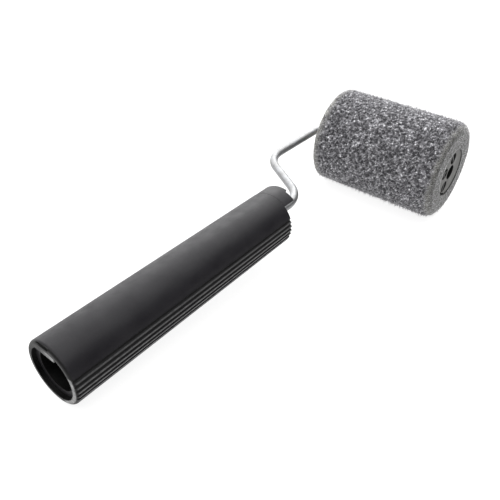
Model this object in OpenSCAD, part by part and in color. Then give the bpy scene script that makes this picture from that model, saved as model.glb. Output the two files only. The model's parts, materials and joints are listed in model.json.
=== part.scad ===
// Mini foam paint roller. A foam sleeve on a plastic core turns freely on the
// end of a cranked steel wire, and the wire is anchored in a hollow, ribbed
// handle. The roller lies as it does on a bench: on its sleeve and on the rear
// rim of the handle. +Y runs from the handle to the sleeve, +X to the free end.

/* [Sleeve] */
// Outside diameter of the foam
foam_d = 45; // [43:0.5:48]
// Length of the foam
foam_l = 60.5; // [58:0.5:62]
// Rounding of the foam at the free end
foam_round_outer = 4.5; // [2:0.5:6]
// Rounding of the foam at the wire end
foam_round_inner = 1.5; // [1:0.5:4]

/* [Core] */
// Outside diameter of the core tube
core_d = 22; // [21:0.5:24]
// Wall of the core tube
core_wall = 1.6; // [1.2:0.1:1.8]
// Depth of the end caps below the foam's end faces
cap_recess = 0.5; // [0.4:0.1:1.6]
// Thickness of an end cap's face
cap_face = 2.2; // [2:0.1:2.6]
// Diameter of the recess that the wire ends in
cap_recess_d = 6.8; // [6.6:0.1:7.6]

/* [Wire] */
// Diameter of the steel wire
wire_d = 3.5; // [3.4:0.1:3.6]
// Radius of the two bends of the slanting leg, at the wire's centreline
crank_bend_r = 16; // [12:0.5:18]
// Radius of the bend beside the sleeve, at the wire's centreline
leg_bend_r = 5.5; // [5:0.5:6]
// Sideways reach of the wire, from the middle of the sleeve
leg_side = 40.1; // [39.5:0.1:43]
// Length of the wire's side leg, from the roller axis to the slanting leg
leg_length = 43.5; // [42:0.1:46]
// Distance from the roller axis to where the wire leaves the handle axis
crank_y = 62.5; // [61:0.1:64]

/* [Handle] */
// Sideways offset of the handle axis from the middle of the sleeve
grip_side = 10.3; // [9:0.1:11]
// Distance from the roller axis to the handle's rear rim
grip_rear = 185.3; // [184:0.1:190]
// Distance from the roller axis to the front face of the grip
grip_front = 83.4; // [83:0.1:85]
// Radius of the grip at its rear rim
grip_r_rear = 11; // [10.8:0.1:11.4]
// Radius of the grip at its front face
grip_r_front = 10.85; // [10.6:0.05:11]
// Grooves on each side of the grip
groove_count = 5; // [3:1:6]
// Angle of the middle groove, from the top of the grip
groove_middle = 88.5; // [80:0.5:100]
// Angle from one groove to the next
groove_pitch = 9.4; // [9:0.1:11]
// Diameter of the round cutter that forms a groove
groove_d = 1.3; // [0.9:0.05:1.4]
// Length of the hood that covers the wire in front of the grip
hood_length = 6.1; // [5:0.1:7]
// Half of the angle that the hood spans
hood_half_angle = 39; // [36:1:60]

/* [Pole socket] */
// Diameter of the socket for an extension pole
socket_d = 14; // [13.5:0.5:14.5]
// Depth of the socket
socket_depth = 54; // [50:1:56]

/* [Hidden] */
$fn = 96;

foam_r = foam_d / 2;
foam_end = foam_l / 2;
core_r = core_d / 2;
wire_r = wire_d / 2;

// Grip: bore for the handle core, roundings, the rear lip that the core stops
// on, the lug inside it, and the notch in the rear rim. Left and right are as
// seen from the rear
liner_r = 9.3;
rim_round = 1.2;
front_round = 0.15;
mouth_r = 9;
lip_depth = 1.5;
lug_left = 5.4;
lug_right = 3.2;
notch_depth = 0.5;
notch_left = 4.5;
notch_right = 1.2;
notch_r = 9.5;
groove_proud = 0.1;

// Handle core: partition, webs, boss and hood, and the wire anchored in front of
// the partition
partition = 2;
web = 1.6;
core_bite = 0.5;
boss_r = 3.6;
hood_wall = 2.2;
hood_step = 1.2;
hood_step_angle = 12;
socket_mouth = grip_rear - lip_depth;
partition_y = socket_mouth - socket_depth;
anchor_length = partition_y - partition - grip_front;

// Wire: bends a hair thicker than the straights that reach into them, pinched
// ears and the clip groove
bend_swell = 0.02;
bend_overlap = 0.3;
ear_thick = 2.1;
ear_span = 5.6;
anchor_ear_length = 6;
stop_ear_length = 3.2;
anchor_ear_ends = [8, 28];
wire_chamfer = 0.4;
clip_groove_r = 1.4;
clip_groove_w = 0.8;
wire_tip = 1.6;

// End caps and bushes
running_gap = 0.05;
cap_gap = 0.15;
recess_depth = 6;
cap_wall = 1.4;
cap_spigot = 6;
hub_r = 4.7;
hub_length = 11.8;
bush_r = 2.7;
bush_flange = 1;
bush_head_r = 4.2;
pocket_r = 2.7;
pocket_depth = 1.6;
pocket_circle_r = 6.9;
pocket_bar = 0.9;
pocket_bar_low = 0.2;
pocket_angles = [180, 255, 330];
pocket_bars = [[30], [30, 120], [30]];
pry_slot_start = 312;
pry_slot_angle = 38;
pry_slot_w = 0.9;
pry_slot_depth = 1.4;
clip_r = 3.1;
clip_thick = 0.6;
clip_mouth = 2.3;
washer_r = 4.5;
washer_thick = 0.6;
end_play = 0.3;

// Stations along the roller axis, from the middle of the sleeve
face_x = foam_end - cap_recess;
tube_x = face_x - cap_face;
recess_floor_x = face_x - recess_depth;
hub_start_x = face_x - hub_length;
clip_x = recess_floor_x + bush_flange + end_play;
rod_end_x = clip_x + clip_groove_w + wire_tip;
inner_head_x = -face_x - bush_flange;
washer_x = inner_head_x - end_play;
stop_x = washer_x - washer_thick;

// The wire's centreline corners in its own plane, from inside the handle
ROUTE = [
    [-grip_side, -grip_front - anchor_length],
    [-grip_side, -crank_y],
    [-leg_side, -leg_length],
    [-leg_side, 0],
    [rod_end_x, 0]
];

// How far the roller leans so that the sleeve and the rear rim both touch down
rim_y = grip_rear - rim_round;
rim_z = grip_r_rear - rim_round;
lean = asin((foam_r - rim_round) / norm([rim_y, rim_z])) - atan2(rim_z, rim_y);
low_x = -leg_side - wire_r;
low_y = -(rim_y * cos(lean) + rim_z * sin(lean) + rim_round);

function heading(a, b) = atan2(b.y - a.y, b.x - a.x);
function turn(i) = heading(ROUTE[i], ROUTE[i + 1]) - heading(ROUTE[i - 1], ROUTE[i]);
function bend_r(i) = i == len(ROUTE) - 2 ? leg_bend_r : crank_bend_r;
function setback(i) =
    (i == 0 || i == len(ROUTE) - 1) ? 0 : bend_r(i) * tan(abs(turn(i)) / 2);

// Lays the whole roller on the bench with the middle of its box at the origin
module lay_down() {
    translate([-(foam_end + low_x) / 2, -(foam_r + low_y) / 2, foam_r])
        rotate([lean, 0, 0])
            children();
}

// Children's +Z becomes the roller axis
module along_roller() {
    rotate([0, 90, 0]) children();
}

// Children's +Z becomes the handle axis, pointing forwards, and their -Y is up
module along_handle() {
    translate([-grip_side, 0, 0]) rotate([-90, 0, 0]) children();
}

// A ring around Z from z0 to z1
module ring(r_out, r_in, z0, z1) {
    translate([0, 0, z0])
        difference() {
            cylinder(r = r_out, h = z1 - z0);
            translate([0, 0, -1]) cylinder(r = r_in, h = z1 - z0 + 2);
        }
}

// Part of a ring, spanning the angles a0 to a1 clockwise from the top
module ring_sector(r_out, r_in, z0, z1, a0, a1) {
    translate([0, 0, z0])
        rotate([0, 0, a0 - 90])
            rotate_extrude(angle = a1 - a0)
                translate([r_in, 0]) square([r_out - r_in, z1 - z0]);
}

// The corner of a square block beyond a rounding of radius r
module corner_waste(r) {
    difference() {
        translate([-r, -r]) square(2 * r);
        translate([-r, -r]) circle(r);
        translate([-2 * r, -r]) square([r, 2 * r]);
        translate([-r, -2 * r]) square([2 * r, r]);
    }
}

module grip_profile() {
    difference() {
        polygon([
            [liner_r, -grip_rear + lip_depth],
            [mouth_r, -grip_rear + lip_depth],
            [mouth_r, -grip_rear],
            [grip_r_rear, -grip_rear],
            [grip_r_front, -grip_front],
            [liner_r, -grip_front]
        ]);
        translate([grip_r_front, -grip_front]) corner_waste(front_round);
        translate([grip_r_rear, -grip_rear]) mirror([0, 1]) corner_waste(rim_round);
    }
}

// One groove along the tapering side, at an angle clockwise from the top
module groove(angle) {
    taper = atan2(grip_r_rear - grip_r_front, grip_rear - grip_front);
    rotate([0, 0, angle - 90])
        translate([grip_r_front + groove_proud, 0, -grip_front])
            rotate([0, 180 - taper, 0])
                translate([0, 0, -5])
                    cylinder(d = groove_d, h = grip_rear - grip_front + 10);
}

module grip_cover() {
    half_fan = (groove_count - 1) / 2;
    color("#2b2b2e")
        lay_down()
            along_handle() {
                difference() {
                    rotate_extrude() grip_profile();
                    for (side = [1, -1], i = [0:groove_count - 1])
                        groove(side * (groove_middle + (i - half_fan) * groove_pitch));
                    translate([-notch_left, -grip_r_rear - 1, -grip_rear - 1])
                        cube([notch_left + notch_right, grip_r_rear + 1 - notch_r, 1 + notch_depth]);
                }
                rear_lug();
            }
}

// Flat lug inside the top of the rear lip, clear of the pole's way in
module rear_lug() {
    intersection() {
        translate([0, 0, -grip_rear]) cylinder(r = mouth_r + 0.2, h = lip_depth);
        translate([-lug_left, -mouth_r - 1, -grip_rear])
            cube([lug_left + lug_right, mouth_r + 1 - socket_d / 2, lip_depth]);
    }
}

module handle_core() {
    color("#232326")
        lay_down()
            along_handle() {
                ring(liner_r, socket_d / 2, -socket_mouth, -grip_front);
                difference() {
                    union() {
                        translate([0, 0, -partition_y]) cylinder(r = socket_d / 2 + core_bite, h = partition);
                        translate([0, 0, -partition_y]) cylinder(r = boss_r, h = partition_y - grip_front);
                        for (a = [0, 90])
                            rotate([0, 0, a])
                                translate([-socket_d / 2 - core_bite, -web / 2, -partition_y])
                                    cube([socket_d + 2 * core_bite, web, partition_y - grip_front]);
                    }
                    translate([0, 0, -grip_front - anchor_length])
                        cylinder(r = wire_r, h = anchor_length + 1);
                }
                hood();
            }
}

// Curved shield over the wire, a little shorter on the free-end side
module hood() {
    front = -grip_front + hood_length;
    difference() {
        ring_sector(grip_r_front, grip_r_front - hood_wall, -grip_front, front + hood_step,
                    -hood_half_angle, hood_half_angle);
        ring_sector(grip_r_front + 1, grip_r_front - hood_wall - 1, front, front + hood_step + 1,
                    hood_step_angle, hood_half_angle + 20);
    }
}

// A straight stretch of wire from a to b in its plane, reaching into the bends
// at its ends
module wire_straight(a, b, into_a, into_b) {
    translate([a.x, a.y, 0])
        rotate([0, 0, heading(a, b)])
            rotate([0, 90, 0])
                translate([0, 0, -into_a])
                    cylinder(r = wire_r, h = norm(b - a) + into_a + into_b);
}

// The bend at corner i of the route
module wire_bend(i) {
    into = heading(ROUTE[i - 1], ROUTE[i]);
    side = sign(turn(i));
    start = ROUTE[i] - setback(i) * [cos(into), sin(into)];
    centre = start + side * bend_r(i) * [-sin(into), cos(into)];
    first = side > 0 ? into - 90 : into + 90 + turn(i);
    translate([centre.x, centre.y, 0])
        rotate([0, 0, first])
            rotate_extrude(angle = abs(turn(i)))
                translate([bend_r(i), 0]) circle(wire_r + bend_swell);
}

// Lens-shaped wings that a press pinches out of the wire, along X
module pinched_ears(length) {
    lens_r = (length * length + ear_span * ear_span) / (4 * length);
    translate([0, 0, -ear_thick / 2])
        linear_extrude(ear_thick)
            intersection() {
                translate([length / 2 - lens_r, 0]) circle(lens_r);
                translate([lens_r - length / 2, 0]) circle(lens_r);
            }
}

module wire_route() {
    last = len(ROUTE) - 1;
    for (i = [0:last - 1]) {
        dir = (ROUTE[i + 1] - ROUTE[i]) / norm(ROUTE[i + 1] - ROUTE[i]);
        wire_straight(
            ROUTE[i] + setback(i) * dir,
            ROUTE[i + 1] - setback(i + 1) * dir,
            i == 0 ? 0 : bend_overlap,
            i == last - 1 ? 0 : bend_overlap
        );
    }
    for (i = [1:last - 1]) wire_bend(i);
}

module wire_frame() {
    color("#d3d5d8")
        lay_down()
            difference() {
                union() {
                    wire_route();
                    translate([stop_x - stop_ear_length / 2, 0, 0]) pinched_ears(stop_ear_length);
                    for (from_end = anchor_ear_ends)
                        translate([-grip_side, -grip_front - anchor_length + from_end, 0])
                            rotate([0, 0, 90]) pinched_ears(anchor_ear_length);
                }
                along_roller() {
                    ring(wire_r + 1, clip_groove_r, clip_x, clip_x + clip_groove_w);
                    translate([0, 0, rod_end_x])
                        rotate_extrude()
                            polygon([
                                [wire_r - wire_chamfer, 0.01],
                                [wire_r + 0.01, -wire_chamfer],
                                [wire_r + 1, -wire_chamfer],
                                [wire_r + 1, 0.01]
                            ]);
                }
            }
}

module stop_washer() {
    color("#e4e4e0")
        lay_down()
            along_roller()
                ring(washer_r, wire_r, washer_x - washer_thick, washer_x);
}

// Open ring that snaps into the groove at the wire's end
module retaining_clip() {
    color("#8d9094")
        lay_down()
            along_roller()
                difference() {
                    ring(clip_r, clip_groove_r, clip_x, clip_x + clip_thick);
                    translate([0, -clip_mouth / 2, clip_x - 1])
                        cube([clip_r + 1, clip_mouth, clip_thick + 2]);
                }
}

module foam_profile() {
    difference() {
        translate([core_r, -foam_end]) square([foam_r - core_r, foam_l]);
        translate([foam_r, foam_end]) corner_waste(foam_round_outer);
        translate([foam_r, -foam_end]) mirror([0, 1]) corner_waste(foam_round_inner);
    }
}

module foam_sleeve() {
    color("#55545a")
        lay_down()
            along_roller()
                rotate_extrude() foam_profile();
}

module core_tube() {
    color("#8a8a86")
        lay_down()
            along_roller()
                ring(core_r, core_r - core_wall, -tube_x, tube_x);
}

// Plug with a face, a spigot inside the tube, a ribbed hub for the bush, round
// pockets that keep the face thin, and a slot at its edge to prise it out by
module end_cap_body() {
    spigot_r = core_r - core_wall;
    difference() {
        union() {
            translate([0, 0, tube_x]) cylinder(r = core_r - cap_gap, h = cap_face);
            ring(spigot_r, spigot_r - cap_wall, tube_x - cap_spigot, tube_x);
            translate([0, 0, hub_start_x]) cylinder(r = hub_r, h = tube_x - hub_start_x);
            for (a = [45, 135])
                rotate([0, 0, a])
                    translate([-spigot_r + cap_wall / 2, -cap_wall / 2, tube_x - cap_spigot + 1])
                        cube([2 * spigot_r - cap_wall, cap_wall, cap_spigot - 1]);
        }
        translate([0, 0, hub_start_x - 1]) cylinder(r = bush_r, h = face_x - hub_start_x + 2);
        for (a = pocket_angles)
            rotate([0, 0, a])
                translate([pocket_circle_r, 0, face_x - pocket_depth])
                    cylinder(r = pocket_r, h = pocket_depth + 1);
        rotate([0, 0, pry_slot_start])
            rotate_extrude(angle = pry_slot_angle)
                translate([core_r - cap_gap - pry_slot_w, face_x - pry_slot_depth])
                    square([pry_slot_w + 1, pry_slot_depth + 1]);
    }
    for (i = [0:len(pocket_angles) - 1], bar = pocket_bars[i])
        rotate([0, 0, pocket_angles[i]])
            translate([pocket_circle_r, 0, face_x - pocket_depth])
                rotate([0, 0, bar]) pocket_mark();
}

// Plain raised bar across a pocket
module pocket_mark() {
    intersection() {
        translate([0, 0, -pocket_bar_low]) cylinder(r = pocket_r + 0.1, h = pocket_depth);
        translate([-pocket_r - 1, -pocket_bar / 2, -pocket_bar_low])
            cube([2 * pocket_r + 2, pocket_bar, pocket_depth]);
    }
}

module outer_end_cap() {
    color("#8a8a86")
        lay_down()
            along_roller()
                difference() {
                    end_cap_body();
                    translate([0, 0, recess_floor_x]) cylinder(d = cap_recess_d, h = recess_depth + 1);
                }
}

module inner_end_cap() {
    color("#8a8a86")
        lay_down()
            along_roller()
                mirror([0, 0, 1]) end_cap_body();
}

// Flanged sleeve from z0 to z1 with its flange on top
module bush(z0, z1, head_r) {
    ring(bush_r, wire_r + running_gap, z0, z1);
    ring(head_r, wire_r + running_gap, z1, z1 + bush_flange);
}

module outer_bush() {
    color("#2a2a2a")
        lay_down()
            along_roller()
                bush(hub_start_x, recess_floor_x, cap_recess_d / 2 - cap_gap);
}

module inner_bush() {
    color("#2a2a2a")
        lay_down()
            along_roller()
                mirror([0, 0, 1]) bush(hub_start_x, face_x, bush_head_r);
}

grip_cover();
handle_core();
wire_frame();
stop_washer();
retaining_clip();
foam_sleeve();
core_tube();
outer_end_cap();
inner_end_cap();
outer_bush();
inner_bush();
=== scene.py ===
"""Small foam paint roller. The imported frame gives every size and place; this script gives the looks."""

import json
import math

import bpy
import numpy as np
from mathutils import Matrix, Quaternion, Vector, kdtree, noise


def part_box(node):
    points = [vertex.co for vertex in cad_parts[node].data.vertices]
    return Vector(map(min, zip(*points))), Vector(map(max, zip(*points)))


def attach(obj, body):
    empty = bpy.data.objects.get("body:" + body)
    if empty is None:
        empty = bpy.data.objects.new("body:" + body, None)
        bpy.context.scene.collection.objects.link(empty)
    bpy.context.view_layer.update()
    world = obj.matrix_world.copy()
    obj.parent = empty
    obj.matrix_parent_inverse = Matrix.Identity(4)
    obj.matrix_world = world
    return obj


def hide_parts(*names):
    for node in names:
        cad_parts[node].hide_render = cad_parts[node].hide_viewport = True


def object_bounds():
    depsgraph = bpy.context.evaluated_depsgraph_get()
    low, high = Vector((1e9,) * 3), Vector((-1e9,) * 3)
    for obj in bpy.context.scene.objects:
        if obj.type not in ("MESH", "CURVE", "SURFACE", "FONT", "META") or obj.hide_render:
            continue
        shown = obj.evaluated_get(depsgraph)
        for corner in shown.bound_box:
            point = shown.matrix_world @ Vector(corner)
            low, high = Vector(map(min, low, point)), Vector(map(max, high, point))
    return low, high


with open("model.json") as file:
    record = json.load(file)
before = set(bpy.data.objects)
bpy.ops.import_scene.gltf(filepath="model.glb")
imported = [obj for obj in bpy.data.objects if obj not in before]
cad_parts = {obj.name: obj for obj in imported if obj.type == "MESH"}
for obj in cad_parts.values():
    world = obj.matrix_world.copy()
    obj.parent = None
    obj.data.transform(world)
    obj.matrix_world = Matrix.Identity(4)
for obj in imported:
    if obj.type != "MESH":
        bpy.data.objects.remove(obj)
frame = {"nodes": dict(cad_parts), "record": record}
cad_low, cad_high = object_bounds()


# ---------------------------------------------------------------- measures of the CAD

MM = 0.001
NODES = frame["nodes"]

SLEEVE_LOW, SLEEVE_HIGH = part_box("foam_sleeve")
SLEEVE_CENTRE = (SLEEVE_LOW + SLEEVE_HIGH) / 2
TUBE_LOW, TUBE_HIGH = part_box("core_tube")
CAP_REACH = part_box("outer_end_cap")[1].x - SLEEVE_CENTRE.x    # from the sleeve's middle to a cap's face

SOCKET = frame["record"]["mounts"][0]
SOCKET_MIDDLE = tuple(SOCKET["pos_m"])
SOCKET_RADIUS = SOCKET["dims"]["r_mm"] * MM
REARWARD = tuple(SOCKET["axis"])                  # along the handle, away from the sleeve
UPWARD = (0.0, REARWARD[2], -REARWARD[1])         # square to the handle
LIP_DEPTH = 1.5 * MM                              # of the lip around the socket's mouth
RIM = SOCKET["dims"]["length_mm"] / 2 * MM + LIP_DEPTH        # from the socket's middle to the rear rim

GRIP_LOW, GRIP_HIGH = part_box("grip_cover")
GRIP_LENGTH = 101.9 * MM                          # along the handle, from its front face to the rim
GRIP_REAR_RADIUS = (GRIP_HIGH.x - GRIP_LOW.x) / 2
GRIP_FRONT_RADIUS = GRIP_REAR_RADIUS - 0.15 * MM


# ---------------------------------------------------------------- node helpers


class Look:
    """One material: a Principled shader, and short calls that add nodes to it."""

    def __init__(self, name):
        self.material = bpy.data.materials.new(name)
        self.material.use_nodes = True
        self.tree = self.material.node_tree
        self.shader = self.tree.nodes["Principled BSDF"]
        coordinates = self.tree.nodes.new("ShaderNodeTexCoord")
        self.place = coordinates.outputs["Object"]

    def set(self, **values):
        """Constants, directly on the shader's own sockets: sheen_weight=0.3 sets Sheen Weight."""
        sockets = {socket.name.lower().replace(" ", "_"): socket for socket in self.shader.inputs}
        for key, value in values.items():
            sockets[key].default_value = value

    def link(self, source, socket):
        self.tree.links.new(source, self.shader.inputs[socket])

    def put(self, node, socket, value):
        """A link or a constant into one input of a node."""
        target = node.inputs[socket]
        if isinstance(value, bpy.types.NodeSocket):
            self.tree.links.new(value, target)
        else:
            target.default_value = value

    def node(self, kind, inputs):
        """A new node with its inputs filled, by name or by number."""
        made = self.tree.nodes.new(kind)
        for socket, value in inputs.items():
            self.put(made, socket, value)
        return made

    def stretched(self, scale):
        """The object's coordinates, multiplied along each axis."""
        made = self.node("ShaderNodeMapping", {"Vector": self.place, "Scale": scale})
        return made.outputs["Vector"]

    def grain(self, size, detail=3.0, roughness=0.55, at=None):
        """Noise from 0 to 1 whose features are about `size` metres across."""
        inputs = {"Detail": detail, "Roughness": roughness, "Vector": at or self.place, "Scale": 1 / size}
        return self.node("ShaderNodeTexNoise", inputs).outputs["Fac"]

    def cells(self, size):
        """Distance to the nearest of many scattered points, in units of `size` metres."""
        made = self.node("ShaderNodeTexVoronoi", {"Vector": self.place, "Scale": 1 / size})
        return made.outputs["Distance"]

    def attribute(self, name):
        """A value stored at the mesh's vertices."""
        made = self.node("ShaderNodeAttribute", {})
        made.attribute_name = name
        return made.outputs["Fac"]

    def span(self, value, from_low, from_high, to_low=0.0, to_high=1.0):
        """Maps a value linearly from one range to another, and holds it there."""
        inputs = {
            "Value": value,
            "From Min": from_low,
            "From Max": from_high,
            "To Min": to_low,
            "To Max": to_high,
        }
        return self.node("ShaderNodeMapRange", inputs).outputs["Result"]

    def math(self, operation, first, second):
        made = self.node("ShaderNodeMath", {0: first, 1: second})
        made.operation = operation
        return made.outputs[0]

    def product(self, first, *others):
        """All the values multiplied together."""
        for other in others:
            first = self.math("MULTIPLY", first, other)
        return first

    def unsigned(self, value):
        """A value without its sign."""
        return self.math("ABSOLUTE", value, 0)

    def vector(self, operation, first, second, output="Vector"):
        made = self.tree.nodes.new("ShaderNodeVectorMath")
        made.operation = operation
        self.put(made, 0, first)
        self.put(made, 1, second)
        return made.outputs[output]

    def part(self, vector, axis):
        """One coordinate of a vector."""
        return self.node("ShaderNodeSeparateXYZ", {"Vector": vector}).outputs[axis]

    def mix(self, fraction, first, second):
        """A colour from first to second, by a fraction."""
        made = self.tree.nodes.new("ShaderNodeMix")
        made.data_type = "RGBA"
        self.put(made, 0, fraction)
        self.put(made, 6, first)
        self.put(made, 7, second)
        return made.outputs[2]

    def bump(self, height, depth, below=None):
        """A bump `depth` metres deep, on top of another one if below is given."""
        made = self.node("ShaderNodeBump", {"Strength": 1.0, "Distance": depth, "Height": height})
        if below:
            self.put(made, "Normal", below)
        return made.outputs["Normal"]


def grey(level, tint=(0.0, 0.0, 0.0)):
    """A colour of one level, with a little more or less of red, green and blue."""
    return (level + tint[0], level + tint[1], level + tint[2], 1.0)


# ---------------------------------------------------------------- plastics

RECESS_SHADE = grey(0.001)        # painted shade in the grooves, the caps' pockets and hole, the core tube and the socket's bore
DUST = grey(0.08)
# painted highlight on the ribs' crests at the grip's sides
RIB_HIGHLIGHT = grey(0.15)
RIM_HIGHLIGHT = grey(0.38)    # painted highlight on the rear rim's right side and on the lug inside it


def moulded_plastic(name, level, roughness, shine=0.5, tint=(0.0, 0.0, 0.0), shift=0.25):
    """Moulded polypropylene: fine spark-eroded grain, slow changes of tone and small rubbed patches.

    level is its mean grey, and shift is the share of it that the tone strays by. Returns the look and
    its colour, so that a caller can add to the colour."""
    look = Look(name)
    look.set(ior=1.49, specular_ior_level=shine)
    tone = look.grain(9 * MM, detail=2.0)
    fleck = look.grain(0.6 * MM, detail=2.0)
    blend = look.math("ADD", look.product(tone, 0.7), look.product(fleck, 0.3))
    dark = grey(level * (1 - shift), tint)
    light = grey(level * (1 + shift), tint)
    colour = look.mix(look.span(blend, 0.35, 0.65), dark, light)
    look.link(colour, "Base Color")
    rubbed_and_highlight = look.grain(5 * MM, detail=4.0, roughness=0.65)
    look.link(look.span(rubbed_and_highlight, 0.35, 0.7, roughness - 0.05, roughness + 0.09), "Roughness")
    sinks = look.bump(look.grain(4 * MM, detail=1.0), 0.012 * MM)
    look.link(look.bump(look.grain(0.22 * MM, detail=2.0), 0.006 * MM, sinks), "Normal")
    return look, colour


def handle_plastic(name):
    """The handle's charcoal plastic, with a few specks of dust."""
    look, colour = moulded_plastic(name, 0.0092, 0.46, shine=0.25, tint=(0.0008, 0.0, 0.0022))
    speck = look.span(look.cells(11 * MM), 0.013, 0.020, 1.0, 0.0)
    return look, look.mix(speck, colour, DUST)


def from_handle_axis(look):
    """Each point's offset from the middle of the socket, and its distance from the handle's axis."""
    offset = look.vector("SUBTRACT", look.place, SOCKET_MIDDLE)
    across = look.vector("CROSS_PRODUCT", offset, REARWARD)
    return offset, look.vector("LENGTH", across, (0, 0, 0), "Value")


def charcoal_grip():
    """The grip's plastic: painted shade in the grooves, and painted highlights on the ribs, the lug and the
    rim's right side.

    Each pair of distances is the strip over which a painted highlight or the painted shade sets in."""
    look, colour = handle_plastic("charcoal_grip")
    offset, radius = from_handle_axis(look)
    rearward = look.vector("DOT_PRODUCT", offset, REARWARD, "Value")
    upward = look.vector("DOT_PRODUCT", offset, UPWARD, "Value")
    rightward = look.part(offset, "X")
    surface = look.span(rearward, RIM - GRIP_LENGTH, RIM, GRIP_FRONT_RADIUS, GRIP_REAR_RADIUS)
    depth = look.math("SUBTRACT", surface, radius)
    highlight_breakup = look.span(look.grain(1.3 * MM, detail=4.0, roughness=0.7), 0.3, 0.65, 0.35, 1.0)

    # painted highlight on the ribs' crests at the grip's sides, stronger on the lower ribs and broken up by
    # noise
    ribs = look.product(
        look.span(depth, 0.02 * MM, 0.14 * MM, 1.0, 0.0),
        look.span(look.unsigned(rightward), 10.15 * MM, 10.35 * MM),
        look.span(upward, -0.8 * MM, 3.2 * MM, 1.0, 0.45),
    )
    colour = look.mix(look.product(ribs, highlight_breakup), colour, RIB_HIGHLIGHT)
    # painted shade at the bottom of the grooves
    colour = look.mix(look.span(depth, 0.12 * MM, 0.3 * MM), colour, RECESS_SHADE)

    # painted highlight on the rear face: the rim's lower right side and the lug inside the mouth
    rear_face = look.span(rearward, RIM - 0.5 * MM, RIM - 0.3 * MM)
    rim = look.product(
        look.span(radius, 9.0 * MM, 9.3 * MM),
        look.span(radius, 10.1 * MM, 10.5 * MM, 1.0, 0.0),
        look.span(rightward, 3.0 * MM, 4.5 * MM),
        look.span(upward, 3.9 * MM, 4.5 * MM, 1.0, 0.0),
    )
    lug = look.product(
        look.span(radius, 8.7 * MM, 8.9 * MM, 1.0, 0.0),
        look.span(rightward, -3.0 * MM, 2.6 * MM),
    )
    rubbed_and_highlight = look.product(rear_face, look.math("ADD", rim, lug), highlight_breakup)
    look.link(look.mix(rubbed_and_highlight, colour, RIM_HIGHLIGHT), "Base Color")
    return look.material


def black_core():
    """The handle's inner moulding: the same plastic, with painted shade all over the socket's bore."""
    look, colour = handle_plastic("black_core")
    radius = from_handle_axis(look)[1]
    # painted shade in the socket's bore
    unshaded = look.span(radius, SOCKET_RADIUS + 0.1 * MM, SOCKET_RADIUS + 0.4 * MM)
    look.link(look.mix(unshaded, RECESS_SHADE, colour), "Base Color")
    return look.material


def grey_cap():
    """The caps' plastic, pale on its faces and painted black below them, as shade in the pockets and the
    hole.
    """
    look, colour = moulded_plastic("grey_cap", 0.085, 0.45, shine=0.3, tint=(0.002, 0.0, -0.006), shift=0.12)
    from_middle = look.math("SUBTRACT", look.part(look.place, "X"), SLEEVE_CENTRE.x)
    below = look.math("SUBTRACT", CAP_REACH, look.unsigned(from_middle))
    # painted shade below the caps' faces, also over the core tube that shares this look
    colour = look.mix(look.span(below, 0.04 * MM, 0.16 * MM), colour, RECESS_SHADE)
    look.link(colour, "Base Color")
    return look.material


def black_acetal():
    """The bushes' plastic: dark, partly as painted shade where the outer bush shows in a cap's hole."""
    return moulded_plastic("black_acetal", 0.02, 0.35)[0].material


def natural_nylon():
    """Unfilled nylon: milky, with a little light passing through it."""
    look = Look("natural_nylon")
    look.set(ior=1.53, subsurface_weight=0.25, subsurface_scale=0.6 * MM)
    tone = look.grain(2.5 * MM, detail=2.0)
    look.link(look.mix(tone, (0.66, 0.65, 0.60, 1.0), (0.80, 0.79, 0.74, 1.0)), "Base Color")
    look.link(look.span(tone, 0.3, 0.7, 0.34, 0.46), "Roughness")
    look.link(look.bump(look.grain(0.2 * MM, detail=2.0), 0.004 * MM), "Normal")
    return look.material


# ---------------------------------------------------------------- metals


def plated_wire():
    """Drawn steel wire, zinc plated: bright, with a slightly mottled bloom and fine scratches."""
    look = Look("zinc_plated_wire")
    look.set(metallic=1.0)
    bloom = look.grain(3.5 * MM, detail=4.0, roughness=0.6)
    base = look.mix(look.span(bloom, 0.35, 0.7), grey(0.27), (0.345, 0.352, 0.363, 1.0))
    look.link(base, "Base Color")
    patch = look.grain(1.6 * MM, detail=5.0, roughness=0.7)
    look.link(look.span(patch, 0.3, 0.75, 0.44, 0.58), "Roughness")
    dents = look.bump(look.grain(2.2 * MM, detail=1.0), 0.01 * MM)
    scratch = look.grain(0.25 * MM, detail=2.0, at=look.stretched((1.0, 0.12, 1.0)))
    look.link(look.bump(scratch, 0.004 * MM, dents), "Normal")
    return look.material


def spring_steel():
    """Stamped and tempered clip: darker, faintly brown, with tumbling marks."""
    look = Look("spring_steel")
    look.set(metallic=1.0)
    bloom = look.grain(0.8 * MM, detail=4.0)
    look.link(look.mix(bloom, (0.23, 0.215, 0.20, 1.0), (0.42, 0.41, 0.40, 1.0)), "Base Color")
    look.link(look.span(bloom, 0.3, 0.7, 0.28, 0.48), "Roughness")
    look.link(look.bump(look.grain(0.15 * MM, detail=2.0), 0.004 * MM), "Normal")
    return look.material


# ---------------------------------------------------------------- foam and floor materials

FOAM_CELL_SHADE = (0.037, 0.036, 0.040, 1.0)      # painted shade deep in a cell
FOAM_STRUT = (0.240, 0.237, 0.252, 1.0)     # on the walls between cells
FOAM_GLINT = (0.92, 0.91, 0.95, 1.0)        # a strut that catches the light
SKIN_DARK = (0.026, 0.0255, 0.024, 1.0)
SKIN_LIGHT = (0.052, 0.051, 0.048, 1.0)
PALE_RIDGE = (0.50, 0.495, 0.470, 1.0)          # pale patches on the ridge beside each end


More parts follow.
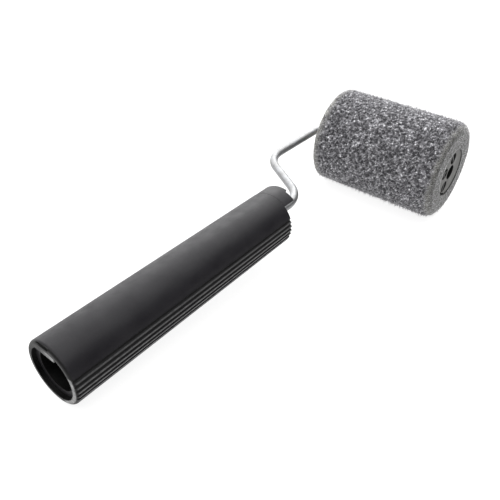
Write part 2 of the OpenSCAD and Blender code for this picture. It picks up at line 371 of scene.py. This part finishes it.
def open_cell_foam():
    """Cut foam: painted shade in the cells, lighter struts and a few painted glints; a finer skin and pale
    patches at the ends.

    The mesh's values say where. strut is 0 in a cell, 1 on a wall and up to 1.7 on a broken strut."""
    look = Look("open_cell_foam")
    look.set(sheen_weight=1.0, sheen_roughness=0.30, specular_ior_level=0.5)
    strut = look.attribute("strut")
    skin = look.attribute("skin")
    ridge = look.attribute("ridge")

    fine = look.grain(0.45 * MM, detail=2.0)
    lit = look.math("ADD", look.product(strut, 0.75), look.product(fine, 0.5))
    # painted shade in the cells, lighter on the struts, by the strut value
    body = look.mix(look.span(lit, 0.35, 1.05), FOAM_CELL_SHADE, FOAM_STRUT)
    glint = look.span(look.grain(0.55 * MM, detail=1.0), 0.57, 0.63)
    glint = look.product(glint, look.span(strut, 0.55, 0.95))
    glint = look.math("MAXIMUM", glint, look.span(strut, 1.15, 1.45))
    body = look.mix(glint, body, FOAM_GLINT)

    end_mottle = look.grain(0.5 * MM, detail=3.0, roughness=0.6)
    ends = look.mix(look.span(end_mottle, 0.3, 0.7), SKIN_DARK, SKIN_LIGHT)
    ends = look.mix(look.product(ridge, look.span(end_mottle, 0.4, 0.7)), ends, PALE_RIDGE)
    look.link(look.mix(skin, body, ends), "Base Color")
    look.link(look.span(glint, 0.0, 1.0, 0.95, 0.38), "Roughness")
    pores = look.product(look.grain(0.3 * MM, detail=2.0), look.span(skin, 0.0, 1.0, 1.0, 0.35))
    look.link(look.bump(pores, 0.06 * MM), "Normal")
    return look.material


def pale_floor():
    """A translucent white sheet, softly lit from below, so that shadows on it stay faint."""
    look = Look("pale_floor")
    look.set(roughness=0.85, specular_ior_level=0.1, emission_color=grey(1.0), emission_strength=0.88)
    tone = look.grain(0.15, detail=2.0)
    look.link(look.mix(tone, grey(0.20), grey(0.22)), "Base Color")
    return look.material


# ---------------------------------------------------------------- CAD nodes

WELD_DISTANCE = 0.002 * MM
SHARP = math.radians(35)      # edges that turn by more than this are rounded


def dress(node, material, edge):
    """Gives a CAD node its material, and rounds its sharp edges over `edge` metres by modifiers."""
    piece = NODES[node]
    piece.data.materials.clear()
    piece.data.materials.append(material)
    if edge:
        weld = piece.modifiers.new("weld", "WELD")
        weld.merge_threshold = WELD_DISTANCE
        bevel = piece.modifiers.new("edges", "BEVEL")
        bevel.width = edge
        bevel.segments = 2
        bevel.limit_method = "ANGLE"
        bevel.angle_limit = SHARP
        bevel.use_clamp_overlap = True
        normals = piece.modifiers.new("normals", "WEIGHTED_NORMAL")
        normals.mode = "FACE_AREA"
        normals.weight = 100


# ---------------------------------------------------------------- foam sleeve

SEED = 7
GRID = 0.40 * MM                # distance between the sleeve's vertices
BORE_RINGS = 12                 # rings of vertices inside the bore
OUTER_ROUND = 4.5 * MM          # edge rounding at the free end
INNER_ROUND = 1.5 * MM          # edge rounding beside the wire
SWELL = 0.25 * MM               # how far the surface wanders from a true cylinder
SWELL_SIZE = 14 * MM
PATCH_SIZE = 3 * MM             # of the unevenness where the skin fades out

CELL = 1.05 * MM                # mean distance between foam cells
CELL_STRAY = 0.42               # how far a cell strays from its place, in cells
CELL_RADIUS = (0.50, 0.85)      # least and most, in millimetres
CELL_RISE = (0.02, 0.30)        # how far its centre stands out of the surface, in millimetres
CELL_DEPTH = 0.62 * MM          # depth at which a cell's colour is all painted shade
CELL_WARP = 0.10 * MM           # unevenness of its walls
NEIGHBOURS = 4                  # cells looked at for each vertex

OUTER_SKIN = 2.8 * MM           # how far the finer skin reaches in from the free end
OUTER_FADE = 1.8 * MM           # and the length that it fades out over
INNER_SKIN = 4.2 * MM           # the same two beside the wire
INNER_FADE = 3.2 * MM
SKIN_FLATTENS = 0.75            # share of a cell's depth that the skin fills

FUZZ = 12000                    # broken struts that stand out of the surface
FUZZ_WIDTH = 0.20 * MM
FUZZ_ROOT = 0.45 * MM           # depth of a strut's foot
FUZZ_LEAN = 0.55                # spread of their slant: 0 stands straight out
FUZZ_SHAPE = 2.0                # their lengths follow a gamma distribution of this shape,
FUZZ_SCALE = 0.38               # and this scale in millimetres,
FUZZ_LENGTH = (0.25, 2.0)       # held between these two, in millimetres
FUZZ_SHORTER = 0.6              # share by which they are shorter on the end faces
FUZZ_BRIGHTNESS = (0.2, 1.7)    # least and most of their strut value


def sleeve_profile():
    """Points along the sleeve's section, from its bore at the wire's end to its bore at the free end.

    Each row is the distance along the outline, x, the radius, and the normal's x and radial parts."""
    outer = (SLEEVE_HIGH.z - SLEEVE_LOW.z) / 2
    bore = (TUBE_HIGH.z - TUBE_LOW.z) / 2
    near, far = SLEEVE_LOW.x, SLEEVE_HIGH.x
    stretches = [
        ("face", bore, outer - INNER_ROUND, near, -1),
        ("arc", near + INNER_ROUND, outer - INNER_ROUND, INNER_ROUND, math.pi),
        ("side", near + INNER_ROUND, far - OUTER_ROUND, outer, 0),
        ("arc", far - OUTER_ROUND, outer - OUTER_ROUND, OUTER_ROUND, math.pi / 2),
        ("face", outer - OUTER_ROUND, bore, far, 1),
    ]
    rows = []
    along = 0.0
    for kind, a, b, c, d in stretches:
        length = c * math.pi / 2 if kind == "arc" else abs(b - a)
        steps = max(2, round(length / GRID))
        for i in range(steps):
            t = i / steps
            if kind == "face":
                row = (c, a + (b - a) * t, d, 0.0)
            elif kind == "side":
                row = (a + (b - a) * t, c, 0.0, 1.0)
            else:
                nx, nr = math.cos(d - t * math.pi / 2), math.sin(d - t * math.pi / 2)
                row = (a + c * nx, b + c * nr, nx, nr)
            rows.append((along + t * length, *row))
        along += length
    rows.append((along, far, bore, 1.0, 0.0))
    return np.array(rows), bore


def scattered_cells(profile, rng):
    """Centres of foam cells all over the outside: one in each square of a grid, shifted at random."""
    along, x, radius = profile[:, 0], profile[:, 1], profile[:, 2]
    centres = []
    for row in np.arange(CELL / 2, along[-1], CELL):
        r = np.interp(row, along, radius)
        count = max(6, round(2 * math.pi * r / CELL))
        shift = row + rng.uniform(-CELL_STRAY, CELL_STRAY, count) * CELL
        turn = (np.arange(count) + rng.uniform(-CELL_STRAY, CELL_STRAY, count)) * 2 * math.pi / count
        rs = np.interp(shift, along, radius)
        centres.append(np.column_stack([np.interp(shift, along, x), rs * np.sin(turn), rs * np.cos(turn)]))
    return np.concatenate(centres)


def cut_depth(place, centres, rng):
    """How deep the nearest cells, as balls around their centres, cut in at each point of the surface."""
    size = rng.uniform(*CELL_RADIUS, len(centres)) * MM
    rise = rng.uniform(*CELL_RISE, len(centres)) * MM
    warp = rng.normal(0, CELL_WARP, place.shape)
    tree = kdtree.KDTree(len(centres))
    for i, centre in enumerate(centres):
        tree.insert(centre, i)
    tree.balance()
    depth = np.zeros(len(place))
    for i, point in enumerate(place + warp):
        for _, k, distance in tree.find_n(point, NEIGHBOURS):
            if distance < size[k]:
                depth[i] = max(depth[i], math.sqrt(size[k] ** 2 - distance**2) - rise[k])
    return depth


def slow_noise(points, size, seed):
    """Smooth noise, about -1 to 1, at each point."""
    move = Vector((seed * 1.7, seed * 2.3, seed * 3.1))
    return np.array([noise.noise(Vector(p) / size + move) for p in points])


def end_skin(x, patch):
    """From 0 to 1, how much of the finer skin there is: all of it at the ends, with an uneven border."""
    skin = np.clip((x - (SLEEVE_HIGH.x - OUTER_SKIN)) / OUTER_FADE, 0, 1)
    skin = np.maximum(skin, np.clip((SLEEVE_LOW.x + INNER_SKIN - x) / INNER_FADE, 0, 1))
    return np.clip(skin + 0.35 * patch * (skin > 0.02) * (skin < 0.98), 0, 1)


def pale_ridge_strength(x, outward, patch):
    """Strength of the pale ridge around each end. outward is the radial part of the normal."""
    ridge = np.exp(-(((x - (SLEEVE_HIGH.x - 1.5 * MM)) / (1.3 * MM)) ** 2))
    ridge += 1.5 * np.exp(-(((x - (SLEEVE_LOW.x + 1.2 * MM)) / (2.4 * MM)) ** 2))
    return ridge * (outward > 0.2) * np.clip(0.8 + 0.7 * patch, 0, 1)


def broken_struts(profile, rng):
    """Thin three-sided spikes all over the outside: four corners and four faces each, closed."""
    along, x, radius, nx, nr = profile.T
    area = np.cumsum(radius)
    where = np.interp(rng.uniform(0, area[-1], FUZZ), area, along)
    turn = rng.uniform(0, 2 * math.pi, FUZZ)
    sine, cosine = np.sin(turn), np.cos(turn)
    px, pr, mx, mr = (np.interp(where, along, column) for column in (x, radius, nx, nr))
    surface = np.column_stack([px, pr * sine, pr * cosine])
    normal = np.column_stack([mx, mr * sine, mr * cosine])
    lean = normal + rng.normal(0, FUZZ_LEAN, (FUZZ, 3))
    lean /= np.linalg.norm(lean, axis=1)[:, None]
    side = np.cross(lean, rng.normal(0, 1, (FUZZ, 3)))
    side /= np.linalg.norm(side, axis=1)[:, None]
    other = np.cross(lean, side)
    length = rng.gamma(FUZZ_SHAPE, FUZZ_SCALE, FUZZ).clip(*FUZZ_LENGTH) * MM
    length *= 1 - FUZZ_SHORTER * abs(mx)
    foot = surface - normal * FUZZ_ROOT
    corners = [
        foot + FUZZ_WIDTH / 2 * (side * math.cos(angle) + other * math.sin(angle))
        for angle in (0, math.tau / 3, 2 * math.tau / 3)
    ]
    corners.append(surface + lean * length[:, None])
    place = np.stack(corners, axis=1).reshape(-1, 3)
    faces = [
        tuple(4 * i + k for k in face)
        for i in range(FUZZ)
        for face in ((0, 1, 3), (1, 2, 3), (2, 0, 3), (2, 1, 0))
    ]
    return place, faces


def foam_sleeve():
    """The foam: a closed surface cut into open cells, and broken struts that stand out of it."""
    rng = np.random.default_rng(SEED)
    profile, bore = sleeve_profile()
    around = round(math.pi * (SLEEVE_HIGH.z - SLEEVE_LOW.z) / GRID)
    turn = np.arange(around) * 2 * math.pi / around
    sine = np.tile(np.sin(turn), len(profile))
    cosine = np.tile(np.cos(turn), len(profile))
    x, radius, nx, nr = (np.repeat(column, around) for column in profile.T[1:])
    place = np.column_stack([x, radius * sine, radius * cosine])
    normal = np.column_stack([nx, nr * sine, nr * cosine])

    depth = cut_depth(place, scattered_cells(profile, rng), rng)
    wander = slow_noise(place, SWELL_SIZE, 1)
    patch = slow_noise(place, PATCH_SIZE, 2)
    skin = end_skin(x, patch)
    ridge = pale_ridge_strength(x, nr, patch)
    depth *= 1 - SKIN_FLATTENS * skin
    strut = 1 - depth / CELL_DEPTH
    sink = depth + SWELL * (0.5 + 0.5 * wander)
    place -= normal * sink[:, None]

    bore_x = np.repeat(np.linspace(SLEEVE_HIGH.x, SLEEVE_LOW.x, BORE_RINGS + 2)[1:-1], around)
    bore_sine = np.tile(np.sin(turn), BORE_RINGS)
    bore_cosine = np.tile(np.cos(turn), BORE_RINGS)
    bore_place = np.column_stack([bore_x, bore * bore_sine, bore * bore_cosine])
    fuzz_place, fuzz_faces = broken_struts(profile, rng)
    fuzz_strut = np.repeat(rng.uniform(*FUZZ_BRIGHTNESS, FUZZ), 4)
    bore_zeros = np.zeros(len(bore_x))
    fuzz_zeros = np.zeros(len(fuzz_place))
    values = {
        "strut": np.concatenate([strut, bore_zeros + 0.5, fuzz_strut]),
        "skin": np.concatenate([skin, bore_zeros + 1, fuzz_zeros]),
        "ridge": np.concatenate([ridge, bore_zeros, fuzz_zeros]),
    }

    first = len(place) + len(bore_place)
    place = np.concatenate([place, bore_place, fuzz_place])
    place += np.array([0.0, SLEEVE_CENTRE.y, SLEEVE_CENTRE.z])
    place[:, 2] = np.maximum(place[:, 2], cad_low.z)
    faces = [tuple(first + k for k in face) for face in fuzz_faces]
    rings = len(profile) + BORE_RINGS
    for i in range(rings):
        j = (i + 1) % rings
        for k in range(around):
            m = (k + 1) % around
            faces.append((i * around + k, i * around + m, j * around + m, j * around + k))

    mesh = bpy.data.meshes.new("open_cell_sleeve")
    mesh.from_pydata(place.tolist(), [], faces)
    mesh.validate()
    mesh.shade_smooth()
    for name, numbers in values.items():
        layer = mesh.attributes.new(name, "FLOAT", "POINT")
        layer.data.foreach_set("value", numbers.astype(np.float32))
    mesh.materials.append(open_cell_foam())
    piece = bpy.data.objects.new("open_cell_sleeve", mesh)
    bpy.context.scene.collection.objects.link(piece)
    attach(piece, "roller")
    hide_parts("foam_sleeve")


# ---------------------------------------------------------------- stage

CAMERA_AZIMUTH = math.radians(35.61)       # from straight behind the handle, towards the free end
CAMERA_ELEVATION = math.radians(34.46)
CAMERA_ROLL = math.radians(4.57)
CAMERA_DISTANCE = 194.3 * MM
CAMERA_LENS = 40.62                        # focal length in millimetres
AIM_SHIFT = Vector((7.93, -30.41, 0.0)) * MM      # from the middle of the object's footprint
FLOOR_HALF = 4.0
FLOOR_GAP = 0.05 * MM


def camera():
    """The photograph's view: from behind the handle, to the right and above, a little tilted."""
    aim = (cad_low + cad_high) / 2 + AIM_SHIFT
    aim.z = SLEEVE_CENTRE.z
    back = Vector(
        (
            math.sin(CAMERA_AZIMUTH) * math.cos(CAMERA_ELEVATION),
            -math.cos(CAMERA_AZIMUTH) * math.cos(CAMERA_ELEVATION),
            math.sin(CAMERA_ELEVATION),
        )
    )
    data = bpy.data.cameras.new("camera")
    data.lens = CAMERA_LENS
    data.clip_start = 0.01
    made = bpy.data.objects.new("camera", data)
    made.location = aim + back * CAMERA_DISTANCE
    level = (-back).to_track_quat("-Z", "Y")
    made.rotation_euler = (level @ Quaternion((0, 0, 1), CAMERA_ROLL)).to_euler()
    bpy.context.scene.collection.objects.link(made)
    bpy.context.scene.camera = made


def soft_light(name, place, width, depth, power):
    """A rectangular panel that points at the object. place is in metres and power in watts."""
    data = bpy.data.lights.new(name, "AREA")
    data.shape = "RECTANGLE"
    data.size = width
    data.size_y = depth
    data.energy = power
    made = bpy.data.objects.new(name, data)
    made.location = place
    made.rotation_euler = (-Vector(place)).to_track_quat("-Z", "Y").to_euler()
    bpy.context.scene.collection.objects.link(made)


def floor():
    """A pale plane just below the object."""
    corners = [(x * FLOOR_HALF, y * FLOOR_HALF, 0) for x, y in ((-1, -1), (1, -1), (1, 1), (-1, 1))]
    mesh = bpy.data.meshes.new("floor")
    mesh.from_pydata(corners, [], [(0, 1, 2, 3)])
    mesh.materials.append(pale_floor())
    made = bpy.data.objects.new("floor", mesh)
    made.location.z = cad_low.z - FLOOR_GAP
    bpy.context.scene.collection.objects.link(made)


def studio_walls():
    """An even surround, which fades from bright on the handle's left to dim on its right."""
    world = bpy.data.worlds.new("studio")
    world.use_nodes = True
    tree = world.node_tree
    direction = tree.nodes.new("ShaderNodeTexCoord")
    split = tree.nodes.new("ShaderNodeSeparateXYZ")
    fade = tree.nodes.new("ShaderNodeMapRange")
    background = tree.nodes["Background"]
    background.inputs["Color"].default_value = grey(1.0)
    for name, number in (("From Min", -0.6), ("From Max", 0.55), ("To Min", 0.72), ("To Max", 0.08)):
        fade.inputs[name].default_value = number
    tree.links.new(direction.outputs["Generated"], split.inputs["Vector"])
    tree.links.new(split.outputs["X"], fade.inputs["Value"])
    tree.links.new(fade.outputs["Result"], background.inputs["Strength"])
    bpy.context.scene.world = world


# ---------------------------------------------------------------- the scene

camera()
floor()
studio_walls()
bpy.context.scene.view_settings.view_transform = "Standard"
soft_light("top", (0.05, -0.25, 1.10), width=2.0, depth=1.8, power=22.0)
soft_light("window", (-1.45, 1.00, 0.85), width=3.0, depth=1.6, power=34.0)
soft_light("back", (-0.40, 1.20, 1.10), width=1.8, depth=1.4, power=18.0)

cap_look = grey_cap()
bush_look = black_acetal()
dress("grip_cover", charcoal_grip(), edge=0.12 * MM)
dress("handle_core", black_core(), edge=0.12 * MM)
dress("wire_frame", plated_wire(), edge=0)
dress("stop_washer", natural_nylon(), edge=0.10 * MM)
dress("retaining_clip", spring_steel(), edge=0.06 * MM)
dress("core_tube", cap_look, edge=0.15 * MM)
dress("outer_end_cap", cap_look, edge=0.15 * MM)
dress("inner_end_cap", cap_look, edge=0.15 * MM)
dress("outer_bush", bush_look, edge=0.10 * MM)
dress("inner_bush", bush_look, edge=0.10 * MM)
foam_sleeve()
